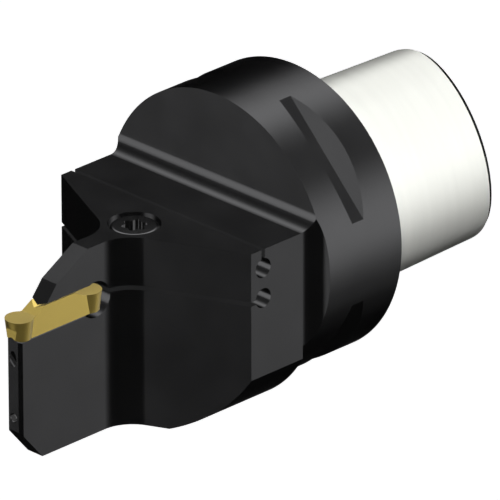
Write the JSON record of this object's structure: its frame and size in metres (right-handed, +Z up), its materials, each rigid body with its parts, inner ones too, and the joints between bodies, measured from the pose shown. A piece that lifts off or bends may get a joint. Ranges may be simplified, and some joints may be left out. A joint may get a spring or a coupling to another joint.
{
  "type": "parting and grooving cutting unit",
  "caption": "Parting and grooving cutting unit: tapered polygon shank, gripper flange, and a blade whose screw-clamped arm holds a round-nosed indexable insert.",
  "frame": {"origin": "centre of the flange's rear contact face, where the tapered polygon shank begins", "axes": "+Y along the tool axis towards the end of the shank, the insert points to -Y, +Z up, square to the insert's rake face"},
  "size_m": [0.063, 0.1193, 0.0633],
  "materials": {
    "black_oxide_steel": "satin black oxide on the block, blade and flange; the shank is bright ground steel",
    "gold_coated_carbide": "satin gold coating on cemented carbide",
    "dark_screw_steel": "dark oiled steel",
    "plug_steel": "dull steel"
  },
  "bodies": {
    "root": {"tool_body": "black_oxide_steel", "cutting_insert": "gold_coated_carbide", "clamp_screw": "dark_screw_steel", "coolant_plug": "plug_steel"}
  },
  "joints": []
}
